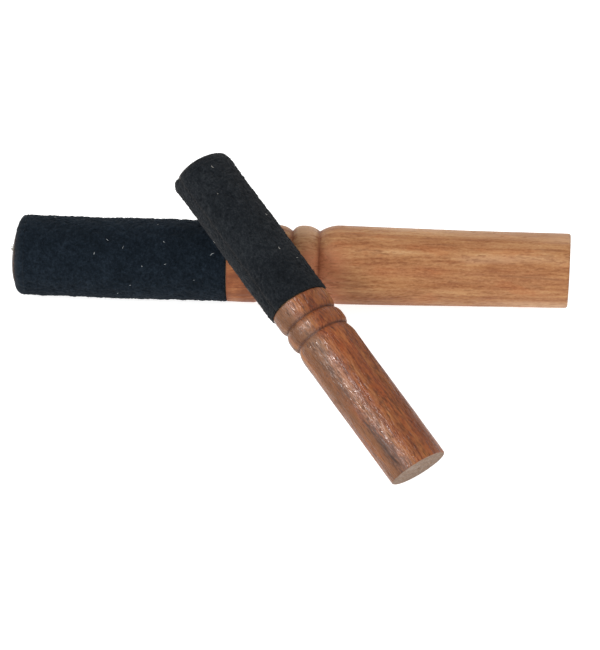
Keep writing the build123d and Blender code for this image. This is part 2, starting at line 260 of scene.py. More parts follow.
def turned_stick(name, stick, profile, columns, bare, options):
    """A turned wooden stick: one closed surface with tool marks, open pores and hand-sawn ends.

    bare is the stretch of stations that shows. The options are the wood's own numbers, and
    functions of station (and angle) that shape it or are stored on it for its material."""
    s0 = np.array([p[0] for p in profile])
    r0 = np.array([p[1] for p in profile])
    s, r = s0[1:-1], r0[1:-1]
    phi = np.arange(columns) / columns * TURN
    radius = options["radius"]
    flat = options["cap"](s, r)
    arc = np.concatenate([[0], np.cumsum(np.hypot(np.diff(s), np.diff(r)))])
    shown = smooth(s, bare[0] - 0.1, bare[0] + 0.6) * fall(s, bare[1] - 0.1, bare[1] + 0.6)
    seed = options["seed"]
    figure = skin_noise(arc, phi, radius, options["figure_len"], 2.6, seed + 1)
    pores = pore_field(
        arc, phi, radius, options["pores"], seed + 2, options["pore_len"], options["pore_deep"],
        figure, options.get("spots", ()),
    )
    side = 1.0 - flat
    pores *= (shown * side)[:, None]
    # tool marks: faint rings left by the gouge, and slow unevenness from sanding by hand
    rings = skin_noise(arc, phi, radius, 1.3, 60.0, seed + 3) * 0.010
    uneven = skin_noise(arc, phi, radius, 16.0, 14.0, seed + 4) * 0.045
    grain = skin_noise(arc, phi, radius, 5.0, 0.55, seed + 5) * 0.010
    relief = (rings + uneven + grain - pores) * (shown * side)[:, None]
    rr = r[:, None] + relief
    # the ends were sawn slightly out of square: each skews the stations near it
    ss = np.repeat(s[:, None], columns, 1)
    for at, reach, lean, toward, pull in options["skews"]:
        w = np.clip(1 - np.abs(s - at) / reach, 0, 1) ** 1.5 if reach else 1.0 + 0.0 * s
        ss += w[:, None] * (pull + r[:, None] * math.tan(lean) * np.cos(phi - toward)[None, :])
    pts = stick.points(ss, phi[None, :], rr)
    sway, sway_dir = options.get("sway", zero), options.get("sway_dir", stick.up)
    pts += sway(s)[:, None, None] * sway_dir
    poles = stick.points(s0[[0, -1]], 0.0, 0.0) + sway(s0[[0, -1]])[:, None] * sway_dir
    verts = np.concatenate([pts.reshape(-1, 3), poles])
    n, rows = columns, len(s)
    last = (rows - 1) * n
    faces = grid_faces(rows, n, True)
    faces += [(rows * n, (j + 1) % n, j) for j in range(n)]
    faces += [(rows * n + 1, last + j, last + (j + 1) % n) for j in range(n)]
    faces = [tuple(reversed(f)) for f in faces]
    grid = s[:, None], phi[None, :]

    def with_poles(values, first=0.0, second=0.0):
        return np.concatenate([np.broadcast_to(values, (rows, n)).ravel(), [first, second]])

    return new_mesh(name, verts, faces, {
        "pore": with_poles(np.clip(pores / options["pore_deep"], 0, 1)),
        "cavity": with_poles(options["cavity"](s)[:, None]),
        "cap": with_poles(flat[:, None], 1.0, 1.0),
        "tone": with_poles(options["tone"](*grid) + options["mottle"] * figure),
        "streak": with_poles(options["streak"](*grid)),
        "specular_scale": with_poles(options["specular_scale"](*grid), 0.4, 0.4),
        "blush_and_lift": with_poles(options.get("blush_and_lift", zero)(*grid)),
        "stain": with_poles(options["stain"](s)[:, None], *options["stain"](s0[[0, -1]])),
    })


FLAT = 0.12                        # half the width of a groove's flat bottom
ROUND = (0.0, 0.5, 1.0, 1.57)      # angles round the collars' small rounded edges


def groove(at, low, before, after):
    """Turned groove between two shoulders, each given as (radius, station, steps)."""
    return joined(
        shoulder(before[0], before[1], low, at - FLAT, before[2]),
        line(at - FLAT, low, at + FLAT, low, 2),
        shoulder(after[0], after[1], low, at + FLAT, after[2])[::-1],
    )


def groove_shade(grooves, reach):
    """Darker wood in the grooves, each given as (station, strength)."""
    def shade(s):
        out = np.zeros_like(s)
        for at, strength in grooves:
            out = np.maximum(out, strength * bell(s, at, reach))
        return out
    return shade


def flat_end(station, radius, far):
    """1 on the flat face at a station, 0 elsewhere; far is the sense in which it looks out."""
    def cap(s, r):
        return (((s - station) * far > -0.02) & (r < radius + 1e-6)).astype(float)
    return cap


def veins(face, sense, drift, radius, fade, rows):
    """Single darker veins: sine of the angle from the camera side (in the given sense), first and
    last station, half-width in mm and strength."""
    def shade(s, phi):
        out = np.zeros(np.broadcast_shapes(s.shape, phi.shape))
        for t, first, last, half, strength in rows:
            centre = face + sense * (math.asin(t) + drift * (s - first))
            ends = smooth(s, first - 1, first + fade) * fall(s, last - fade - 1, last + 1)
            across = np.abs(away_from(phi, centre)) * radius
            out = np.maximum(out, strength * ends * bell(across, 0.0, half))
        return out
    return shade


# ---- large stick
L_CORE, L_COLLAR, L_BEAD, L_GROOVE = 13.02, 14.43, 13.77, 11.90
L_FRONT, L_REAR, L_SHOULDER = 14.20, 13.27, 117.80
g1, g2, g3 = 90.00, 100.45, 110.20
RISE, FALL = 3.4, 5.0              # a bead's run up from one groove and down to the next
large_profile = joined(
    line(0.0, 0.0, 0.08, 3.0, 4),
    [(0.2, 4.7), (0.35, 6.0), (0.46, 6.8), (0.6, 7.6), (0.74, 8.3), (0.9, 8.95), (1.08, 9.55)],
    [(1.3, 10.1), (1.8, 10.2), (2.5, 10.9), (3.5, 11.9), (4.6, 12.6), (5.8, L_CORE)],
    line(5.8, L_CORE, 77.3, L_CORE, 5),
    line(77.45, L_CORE, 77.5, L_COLLAR - 0.3, 3),
    [(77.5 + 0.3 * (1 - math.cos(a)), L_COLLAR - 0.3 * (1 - math.sin(a))) for a in ROUND[1:]],
    line(77.8, L_COLLAR, g1 - FLAT - 3.1, L_COLLAR, 24),
    groove(g1, L_GROOVE, (L_COLLAR, g1 - FLAT - 3.1, 15), (L_BEAD, g1 + FLAT + RISE, 15)),
    line(g1 + FLAT + RISE, L_BEAD, g2 - FLAT - FALL, L_BEAD, 5),
    groove(g2, L_GROOVE, (L_BEAD, g2 - FLAT - FALL, 18), (L_BEAD, g2 + FLAT + RISE, 15)),
    line(g2 + FLAT + RISE, L_BEAD, g3 - FLAT - FALL, L_BEAD, 4),
    groove(g3, L_GROOVE, (L_BEAD, g3 - FLAT - FALL, 18), (L_FRONT, L_SHOULDER, 22)),
    line(L_SHOULDER, L_FRONT, 199.1, L_REAR, 130),
    cut(L_LENGTH, 199.1, L_REAR, L_REAR - 0.75, 6),
    line(L_LENGTH, L_REAR - 0.75, L_LENGTH, 0.0, 14),
)


def large_tone(s, phi):
    """Above 0 where the large stick is paler, below where it is darker and redder: mostly its own
    wood, but the top outline, the last bead and the lower outline near the end are painted light.
    """
    a = phi - FACE_L
    t = np.sin(a)                                          # -1 top outline, 1 bottom outline
    near = smooth(np.cos(a), -0.75, -0.05)                 # fades out round the back
    # towards the end the lower outline is painted paler, a painted light from below; nearer the
    # shoulder the lower side is darker
    low = 0.9 * smooth(s, 150, 196) * smooth(t, 0.35, 0.9)
    low = low - 0.75 * fall(s, 128, 165) * smooth(t, 0.25, 0.8)
    high = -0.45 * fall(t, -0.70, -0.2) * fall(s, 118, 150)
    # painted sheen: the top outline is painted paler and greyer in place of the white surroundings'
    # grazing reflection
    rim = 1.15 * fall(t - 0.05 * smooth(s, 135, 190), -1.0, -0.60)
    middle = -1.5 * smooth(s, 120, 134) * fall(s, 152, 166) * bell(t, 0.05, 0.34)
    groove_side = -2.4 * bell(s, 111.4, 1.0) * smooth(t, -0.6, -0.3)
    # the last bead is painted paler along its top outline and most of all on its lower part, a
    # painted lift against the small mallet's shadow there
    bead = 0.3 + 1.0 * fall(t, -0.9, -0.5) + 0.6 * smooth(t, -0.3, 0.1)
    bead = bead * smooth(s, 101, 103) * fall(s, 108.5, 110)
    patch = 1.6 * bell(s, 80.5, 2.2) * smooth(t, 0.45, 0.8)
    patch = patch + 0.9 * np.sin(a * 10 + 0.25 * s) * fall(s, 84, 88)
    seen = near * (low + high + rim + middle + groove_side + bead + patch)
    collar = -2.7 * fall(s, 84, 92)
    waves = 0.22 * np.sin(a * 3 + s * 0.012 + 0.6) + 0.20 * np.sin(a * 7 - s * 0.02)
    return seen + collar + waves


def large_blush_and_lift(s, phi):
    """Warmer, salmon-coloured wood on the last bead and the shoulder, laid on their lower side,
    where it is also a painted lift against the small mallet's shadow.
    """
    a = phi - FACE_L
    near = smooth(np.cos(a), -0.75, -0.05)
    return near * smooth(np.sin(a), -0.75, -0.05) * smooth(s, 102, 105.5) * fall(s, 112, 124)


large_streak = veins(FACE_L, 1, 0.004, 14.0, 4, (
    (-0.42, 122, 135, 0.28, 0.55), (-0.36, 124, 140, 0.22, 0.45), (0.10, 147, 153, 0.25, 0.85),
    (0.16, 174, 199, 0.30, 0.60), (0.13, 181, 193, 0.22, 0.40), (-0.62, 150, 161, 0.30, 0.50),
    (-0.24, 162, 178, 0.35, 0.35), (-0.56, 186, 200, 0.45, 0.45), (0.50, 119, 130, 0.50, 0.35),
    (-0.48, 152, 160, 0.30, 0.35), (0.36, 156, 170, 0.55, 0.35), (0.42, 184, 192, 0.6, 0.35),
))


def large_bow(s):
    """How far the large mallet's axis strays from straight, towards its lower outline."""
    return 0.14 * smooth(s, 60, 95) - 0.40 * smooth(s, 128, 200)


large_stick = turned_stick(
    "large_stick_turning", LARGE, large_profile, 288, (77.5, 201.0),
    {
        "radius": 14.0, "seed": 11, "pores": 3600, "pore_len": 2.6, "pore_deep": 0.050,
        "figure_len": 20.0, "cap": flat_end(L_LENGTH, L_REAR - 0.7, 1),
        "skews": (
            (L_LENGTH, 14.0, math.radians(-1.1), DOWN_L, 0.0),
            (0.0, 6.0, math.radians(-3.0), DOWN_L, -0.35),
        ),
        "sway": large_bow, "sway_dir": LARGE.radial(DOWN_L),
        "cavity": groove_shade(((g1, 0.7), (g2, 0.6), (g3 + 0.25, 0.6), (77.4, 0.5)), 0.62),
        "stain": lambda s: fall(s, 5.0, 7.0),
        "tone": large_tone, "streak": large_streak, "mottle": 0.30, "blush_and_lift": large_blush_and_lift,
        "specular_scale": lambda s, phi: 1.0 + zero(s, phi),
    },
)


# ---- small stick
S_CORE, S_COLLAR, S_BEAD, S_FRONT, S_REAR = 9.85, 10.64, 10.86, 10.76, 10.56
(n1, n1_r), (n2, n2_r) = (66.00, 9.47), (58.50, 9.73)
S_SHOULDER = 54.0
SLANT = math.radians(3.1)          # the small mallet's turning runs slightly out of square
peak = 0.5 * (n1 + n2)
small_profile = joined(
    line(0.0, 0.0, 0.0, S_REAR - 0.45, 14),
    cut(0.0, 0.45, S_REAR, S_REAR - 0.45, 5)[::-1],
    line(0.45, S_REAR, S_SHOULDER, S_FRONT, 118),
    groove(n2, n2_r, (S_FRONT, S_SHOULDER, 18), (S_BEAD, peak - 1.0, 14)),
    line(peak - 1.0, S_BEAD, peak + 0.6, S_BEAD, 5),
    groove(n1, n1_r, (S_BEAD, peak + 0.6, 15), (S_COLLAR, n1 + 3.2, 15)),
    line(n1 + 3.2, S_COLLAR, 73.3, S_COLLAR, 16),
    [(73.6 - 0.3 * (1 - math.sin(a)), S_COLLAR - 0.3 * (1 - math.cos(a))) for a in ROUND],
    line(73.6, S_COLLAR - 0.3, 73.65, S_CORE, 3),
    line(73.8, S_CORE, S_LENGTH - 3.0, S_CORE, 6),
    [(S_LENGTH - 2.3, 9.72), (S_LENGTH - 1.8, 9.5), (S_LENGTH - 1.4, 9.2), (S_LENGTH - 1.05, 8.75),
     (S_LENGTH - 0.75, 8.1), (S_LENGTH - 0.5, 7.2), (S_LENGTH - 0.3, 6.0), (S_LENGTH - 0.12, 4.0)],
    line(S_LENGTH - 0.06, 2.7, S_LENGTH, 0.0, 3),
)


def small_tone(s, phi):
    """Paler olive sapwood on the left flank, reddish heartwood on the right."""
    a = away_from(phi, FACE_S)
    edge = 0.42 + 0.12 * np.sin(s * 0.09) + 0.06 * np.sin(s * 0.31 + 1)
    pale = smooth(-a, edge - 0.25, edge + 0.25) * fall(-a, 2.0, 2.6)
    return 1.15 * pale - 0.55 * smooth(a, -0.2, 0.5) * fall(a, 2.2, 2.9)


def small_highlight_band(s, phi):
    """Painted highlight: the specular level is raised in a band along the upper left of the stick,
    where the key light's reflection falls in this view, and kept low on the flanks.
    """
    return 0.46 + 0.66 * bell(away_from(phi, FACE_S), -0.27, 0.28) * fall(s, 74, 80)


small_streak = veins(FACE_S, -1, 0.0035, 10.6, 5, (
    (0.46, 0, 26, 0.55, 0.95), (0.40, 8, 30, 0.45, 0.60), (0.30, 17, 25, 0.50, 0.75),
    (0.33, 25, 30, 0.50, 0.95), (0.46, 30, 40, 0.42, 0.80), (0.14, 33, 40, 0.30, 0.45),
    (0.50, 40, 53, 0.40, 0.45), (-0.62, 6, 18, 0.55, 0.40), (-0.66, 4, 30, 0.60, 0.25),
    (0.22, 5, 12, 0.30, 0.50), (0.74, 6, 22, 0.40, 0.25), (-0.20, 30, 44, 0.40, 0.25),
    (0.45, 1, 30, 2.2, 0.34), (-0.34, 20, 46, 1.6, 0.30), (0.20, 4, 50, 3.0, 0.30),
    (0.38, 24, 42, 1.6, 0.52), (-0.42, 0, 22, 2.2, 0.28), (0.92, 0, 26, 2.5, 0.22),
    (0.70, 57, 74, 2.6, 0.26), (-0.85, 0, 30, 2.0, 0.22), (-0.55, 56, 74, 2.6, 0.22),
))

small_stick = turned_stick(
    "small_stick_turning", SMALL, small_profile, 288, (-1.0, 73.6),
    {
        "radius": 10.6, "seed": 31, "pores": 2600, "pore_len": 2.6, "pore_deep": 0.075,
        "figure_len": 18.0, "cap": flat_end(0.0, S_REAR - 0.4, -1),
        "skews": (
            (0.0, 0.0, SLANT, LEFT_S, 0.0),
            (0.0, 16.0, math.radians(-5.7), FACE_S, -0.69),
            (0.0, 16.0, math.radians(1.6), LEFT_S, 0.0),
        ),
        "cavity": groove_shade(((n1, 1.0), (n2, 1.0), (73.6, 0.5)), 0.42),
        "spots": ((FACE_S - 0.35, 0.22, 34.0, 12.0), (FACE_S - 0.45, 0.15, 14.0, 8.0)),
        "stain": lambda s: smooth(s, 132.0, 134.0),
        "tone": small_tone, "streak": small_streak, "mottle": 0.32, "specular_scale": small_highlight_band,
    },
)


# ---- suede sleeves
LUMPS, FOLDS, CLUMPS, TUFTS = 0.055, 0.035, 0.060, 0.085   # mm of relief, coarse to fine


def suede_sleeve(name, stick, spec):
    """One sheet wrapped once: a closed C-shaped skin with a butt seam, lumps, nap and cut edges.

    Returns the piece and the points of its outer side, row by row."""
    r_in, r_out = spec["inner"], spec["outer"]
    lo, hi = spec["collar"], spec["tip"]              # stations of the two cut edges
    out = 1.0 if hi > lo else -1.0                    # towards the tip
    gap = spec["gap"] / r_out / 2
    columns, rows, seed = spec["columns"], spec["rows"], spec["seed"]
    phi = spec["seam"] + gap + (TURN - 2 * gap) * np.arange(columns) / (columns - 1)
    length = abs(hi - lo)
    # profile across the sheet, from the collar edge out and over to the tip, then back inside
    outer = [(0.0, r_in + 0.25), (0.02, r_in + 0.6)]
    for a in (0.0, 0.55, 1.1, 1.57):
        outer.append((0.02 + 0.4 * (1 - math.cos(a)), r_out - 0.4 + 0.4 * math.sin(a)))
    outer += [(x, r_out) for x in np.linspace(0.75, length + spec["over"][0][0], rows)]
    outer += [(length + d, v) for d, v in spec["over"]]
    inner = [(length + d, v) for d, v in spec["under"]]
    inner += [(length * f, r_in) for f in (0.85, 0.55, 0.3, 0.02)]
    loop = np.array(outer + inner)
    x, r = loop[:, 0], loop[:, 1]
    n_loop, n_out = len(loop), len(outer)
    x_out, r_top = x[:n_out], r[:n_out]
    arc = np.concatenate([[0], np.cumsum(np.hypot(np.diff(x_out), np.diff(r_top)))])

    def skin(cell_s, cell_a, offset):
        return skin_noise(arc, phi, r_out, cell_s, cell_a, seed + offset)

    def edge_noise(cell_a, offset):
        return skin_noise(np.array([0.0, 1.0]), phi, r_out, 5.0, cell_a, seed + offset)[0]

    lumps, folds = skin(11.0, 10.0, 0), skin(3.2, 2.8, 1)
    clumps, tufts = skin(1.0, 0.9, 2), skin(0.50, 0.46, 3)
    relief = lumps * LUMPS + folds * FOLDS + clumps * CLUMPS + tufts * TUFTS
    relief = np.clip(relief, -0.4, spec["rise"])
    # the sheet's edges: soft at the collar, rolled in at the seam
    from_seam = np.minimum(phi - phi[0], phi[-1] - phi) * r_out
    sink = spec["sink"] * (bell(from_seam, 0.0, 0.45) + 0.3 * bell(from_seam, 0.0, 2.2))
    amount = np.clip((r_top - r_in) / (r_out - r_in), 0, 1) ** 1.5
    amount = np.where(x_out > length / 2, 1.0, amount)
    amount[-3:] *= (0.8, 0.6, 0.4)
    past_seam = phi - spec["seam"]
    flare = spec.get("flare", zero)(past_seam)[None, :]
    rr = np.repeat(r[:, None], columns, 1)
    rr[:n_out] += (relief - sink[None, :]) * amount[:, None]
    rr[:n_out] += flare * smooth(x_out, length - 4.5, length - 0.5)[:, None]
    # the cut edges aren't dead straight
    wander = (edge_noise(4.5, 5) + edge_noise(1.1, 6) * 0.45) * spec["ragged"]
    collar_wander = edge_noise(7.0, 7) * 0.10
    collar_wander = collar_wander - collar_wander.max()   # never under the wood's collar
    tip_move = wander + spec.get("step", zero)(past_seam) + spec["skew"](phi)
    at_tip = np.clip((x - length + 6.0) / 6.0, 0, 1)[:, None]
    at_collar = np.clip(1 - x / 3.0, 0, 1)[:, None]
    xx = x[:, None] + at_tip * tip_move[None, :] - at_collar * collar_wander[None, :]
    lean, toward = spec.get("slant", (0.0, 0.0))
    xx += out * rr * math.tan(lean) * np.cos(phi - toward)[None, :]
    sway = spec.get("sway", zero)(lo + out * x)[:, None, None]
    pts = stick.points(lo + out * xx, phi[None, :], rr) + sway * spec.get("sway_dir", stick.up)
    pts[..., 2] = np.maximum(pts[..., 2], 0.02)       # it lies on the ground, not in it
    pts = spec["clear"](pts)
    # faces: rows of the closed profile loop swept round, and a cap of the profile at each seam edge
    first_edge = np.arange(n_loop) * columns
    faces = grid_faces(n_loop, columns, False)
    wrapped = np.arange(columns - 1)
    back_row = (n_loop - 1) * columns + wrapped
    faces += np.stack([back_row, back_row + 1, wrapped + 1, wrapped], 1).tolist()
    faces += [first_edge.tolist(), (first_edge + columns - 1)[::-1].tolist()]
    if out > 0:
        faces = [list(reversed(f)) for f in faces]
    height = np.zeros((n_loop, columns))
    height[:n_out] = clumps * 0.6 + tufts * 0.7 + folds * 0.2
    height[:n_out] += spec.get("deep", zero)(lo + out * x_out)[:, None]
    # paler towards the cut edges and the seam: wear of the cut edges, and over the rim that rolls
    # round the tip also a painted sheen
    worn = np.zeros((n_loop, columns))
    ends = np.maximum(bell(x_out, length, 1.2), bell(x_out, 0.0, 0.5) * 0.6)
    worn[:n_out] = np.maximum(ends[:, None], bell(from_seam, 0.0, 0.6)[None, :] * 0.8)
    obj = new_mesh(name, pts.reshape(-1, 3), faces, {"nap": height.ravel(), "worn": worn.ravel()})
    return obj, pts[:n_out]


L_SUEDE, S_SUEDE = 14.63, 11.35    # each mallet's radius over its suede, lumps included


def clear_of(other, radius):
    """Keeps one mallet's skin outside a cylinder round the other mallet, where they touch."""
    def push(pts):
        rel = pts - other.origin
        across = rel - (rel @ other.along)[..., None] * other.along
        dist = np.linalg.norm(across, axis=-1)[..., None]
        return np.where(dist < radius, pts + across / dist * (radius - dist), pts)
    return push


def large_wrap_bow(s):
    """The large sleeve follows its stick's bow."""
    return 0.14 * smooth(s, 60, 95)


def small_notch(d):
    """Below the seam the sheet stops short of the tip, which leaves a notch."""
    left = TURN - d
    return 0.25 * fall(left, 0.6, 1.4) - 1.90 * bell(left, 0.0, 0.14) - 0.5 * bell(d, 0.0, 0.05)


def small_corner(d):
    """The sheet's corner beside the notch stands off the wood a little."""
    return 0.45 * smooth(TURN - d, 0.12, 0.24) * fall(TURN - d, 0.9, 1.5)


large_sleeve, large_skin = suede_sleeve(
    "large_suede_wrap", LARGE,
    {
        "inner": 13.17, "outer": 14.41, "collar": 77.5, "tip": 1.2, "gap": 0.10,
        "seam": math.radians(-26), "columns": 320, "rows": 262, "seed": 101,
        "ragged": 0.09, "rise": 0.30, "sink": 0.16,
        "skew": lambda phi: 0.22 * np.cos(phi - DOWN_L),
        "sway": large_wrap_bow, "sway_dir": LARGE.radial(DOWN_L),
        "clear": clear_of(SMALL, S_SUEDE + 0.09),
        "over": (
            (-3.6, 14.41), (-3.0, 14.32), (-2.45, 14.16), (-1.95, 13.9), (-1.45, 13.5),
            (-1.0, 12.95), (-0.65, 12.35), (-0.38, 11.75), (-0.18, 11.15), (-0.05, 10.6),
            (0.0, 10.25),
        ),
        "under": ((-0.35, 10.2), (-1.2, 11.2), (-2.3, 12.3), (-3.6, 12.95), (-5.0, 13.17)),
    },
)
small_sleeve, small_skin = suede_sleeve(
    "small_suede_wrap", SMALL,
    {
        "inner": 10.05, "outer": 11.17, "collar": 73.6, "tip": 137.0, "gap": 0.06,
        "seam": math.radians(20), "columns": 292, "rows": 240, "seed": 211,
        "ragged": 0.10, "rise": 0.27, "sink": 0.10, "step": small_notch, "flare": small_corner,
        "skew": lambda phi: -0.25 * np.cos(phi - LEFT_S), "slant": (SLANT, LEFT_S),
        "clear": clear_of(LARGE, L_SUEDE + 0.09), "deep": lambda s: -1.6 * fall(s, 78, 98),
        "over": (
            (-3.0, 11.08), (-2.5, 11.02), (-2.0, 10.92), (-1.5, 10.78), (-1.05, 10.6), (-0.7, 10.4),
            (-0.4, 10.2), (-0.18, 9.98), (-0.05, 9.8), (0.0, 9.65),
        ),
        "under": ((-0.3, 9.6), (-1.0, 9.85), (-2.2, 10.05)),
    },
)


def slivers(base, across, other, thick, tip):
    """Points and faces of slender closed three-sided slivers, one for each row."""
    rim = []
    for k in range(3):
        ang = TURN * k / 3
        rim.append(base + (across * math.cos(ang) + other * math.sin(ang)) * thick[:, None])
    verts = np.stack([*rim, tip], 1).reshape(-1, 3)
    o = np.arange(len(base))[:, None] * 4
    faces = np.concatenate([o + f for f in ([0, 1, 3], [1, 2, 3], [2, 0, 3], [0, 2, 1])])
    return verts, faces.tolist()


def nap(name, stick, pts, count, seed, lengths, keep, lint):
    """Loose fibres of the nap, rooted in the suede, and a few threads of lint.

    The faces' materials are 0 dark, 1 middle, 2 light, 3 lint."""
    rng = np.random.default_rng(seed)
    # pick faces in proportion to their area, so the fibres are even
    corner = pts[:-1, :-1]
    du, dv = pts[1:, :-1] - corner, pts[:-1, 1:] - corner
    cross = np.cross(du, dv)
    area = np.linalg.norm(cross, axis=-1)
    weight = area.ravel().cumsum()
    pick = np.searchsorted(weight, rng.random(count) * weight[-1])
    i, j = np.unravel_index(pick, area.shape)
    u, v = rng.random((2, count, 1))
    root = corner[i, j] + du[i, j] * u + dv[i, j] * v
    # the faces' normals, turned outwards: from the axis, or from the middle on the tip
    normal = cross[i, j] / area[i, j][:, None]
    station = (root - stick.origin) @ stick.along
    from_axis = root - stick.origin - station[:, None] * stick.along
    normal *= np.sign(np.einsum("ij,ij->i", normal, from_axis) + 1e-9)[:, None]
    end_on = normal @ stick.along
    on_tip = np.abs(end_on) > 0.8
    sense = np.sign(end_on * np.sign(station - station.mean()) + 1e-9)
    normal[on_tip] *= sense[on_tip][:, None]
    # the nap lies over along the mallet, with locks that lean together
    x, y, z = root.T
    ahead, aside = np.sin(x * 1.7 + y)[:, None], np.cos(y * 1.3 - z)[:, None]
    flow = stick.along * (0.55 + 0.5 * ahead) + np.cross(normal, stick.along) * 0.6 * aside
    stand = 0.25 + 0.75 * rng.random((count, 1))
    direction = unit(normal * stand + flow * 0.8 + rng.normal(size=(count, 3)) * 0.45)
    out = np.einsum("ij,ij->i", direction, normal)
    direction = unit(direction + normal * np.clip(0.15 - out, 0, None)[:, None])
    size = lengths[0] + (lengths[1] - lengths[0]) * rng.random(count) ** 2.0
    size[rng.random(count) < 0.02] *= 1.8
    ok = keep(root, root + direction * size[:, None])
    root, direction, normal, size = root[ok], direction[ok], normal[ok], size[ok]
    count = len(root)
    thick = 0.026 + 0.024 * rng.random(count)
    thick[rng.random(count) < 0.12] *= 2.0
    across = unit(np.cross(direction, normal))
    bend = rng.normal(size=(count, 3)) * 0.12 + normal * rng.normal(size=(count, 1)) * 0.15
    tip = root + (direction + bend) * size[:, None]
    base = root - normal * 0.05
    verts, faces = slivers(base, across, np.cross(direction, across), thick, tip)
    shade = np.tile(rng.integers(0, 10, count), 4)
    index = np.digitize(shade, (6, 9)).tolist()
    # lint: short pale curled threads lying on the nap, each a tube of 5 rings of 3 points
    rings = []
    for k in rng.choice(count, lint, replace=False):
        n = normal[k]
        d = unit(direction[k] - n * (direction[k] @ n))
        w = np.cross(n, d)
        span, curl = 0.6 + 1.0 * rng.random() ** 2, rng.normal() * 0.7
        wide = 0.05 + 0.055 * rng.random()
        for m in range(5):
            t = m / 4 - 0.5
            c = root[k] + n * (0.16 - 0.3 * t * t) + d * span * t + w * span * curl * (t * t)
            q = wide * (1.0 - 1.5 * abs(t)) + 0.012
            rings += [c + w * q, c - w * q, c + n * q * 0.9]
    for k in range(lint):
        b = len(verts) + k * 15
        faces += grid_faces(5, 3, True, b) + [[b, b + 2, b + 1], [b + 12, b + 13, b + 14]]
    index += [3] * (lint * 14)
    obj = new_mesh(name, np.concatenate([verts, np.array(rings)]), faces, smooth_shade=False)
    obj.data.polygons.foreach_set("material_index", np.array(index, np.int32))
    return obj


def clear_tip(other, reach, lo, hi, tip):
    """Which fibre ends stay above the ground and out of the other mallet's suede."""
    rel = tip - other.origin
    along = rel @ other.along
    dist = np.linalg.norm(rel - along[:, None] * other.along, axis=1)
    return ~((dist < reach) & (along > lo) & (along < hi)) & (tip[:, 2] > 0.05)


def keep_large(root, tip):
    """No fibre over the large collar, under the ground or in the small mallet's suede."""
    return clear_tip(SMALL, S_SUEDE + 0.2, 60, 139, tip) & (root[:, 0] < LARGE.origin[0] + 77.45)


def keep_small(root, tip):
    """No fibre over the small collar, under the ground or in the large mallet's suede."""
    past_collar = (root - SMALL.origin) @ SMALL.along > 73.0
    return clear_tip(LARGE, L_SUEDE + 0.2, -5, 130, tip) & past_collar


L_FIBRES = 20000
S_FIBRES = int(L_FIBRES * 0.75)
large_nap = nap("large_suede_nap", LARGE, large_skin, L_FIBRES, 5, (0.22, 0.62), keep_large, 34)
small_nap = nap("small_suede_nap", SMALL, small_skin, S_FIBRES, 6, (0.22, 0.66), keep_small, 16)


def fray():
    """A small frayed tuft left where the large sheet's cut edge meets its wooden tip."""
    rng = np.random.default_rng(77)
    rows = []
    for _ in range(26):
        phi = FACE_L + math.asin(-0.19) + rng.normal() * 0.055
        root = LARGE.points(1.0, phi, 10.2 + rng.normal() * 0.3)
        out = LARGE.radial(phi)
        turn = np.cross(out, LARGE.along)
        stray = out * rng.normal() * 0.25 + turn * rng.normal() * 0.45
        d = unit(stray - LARGE.along + (0, 0, 0.25))
        a = unit(np.cross(d, out))
        wide, span = 0.06 + 0.05 * rng.random(), 1.2 + 1.0 * rng.random()
        rows.append((root, a, np.cross(d, a), wide, root + d * span))
    parts = [np.array(column) for column in zip(*rows)]
    return new_mesh("large_suede_fray", *slivers(*parts), smooth_shade=False)


large_fray = fray()


# ---- material nodes
def lin(*rgb):
    """sRGB 0-255 to linear."""
    c = [x / 255.0 for x in rgb]
    return tuple(x / 12.92 if x <= 0.04045 else ((x + 0.055) / 1.055) ** 2.4 for x in c) + (1.0,)


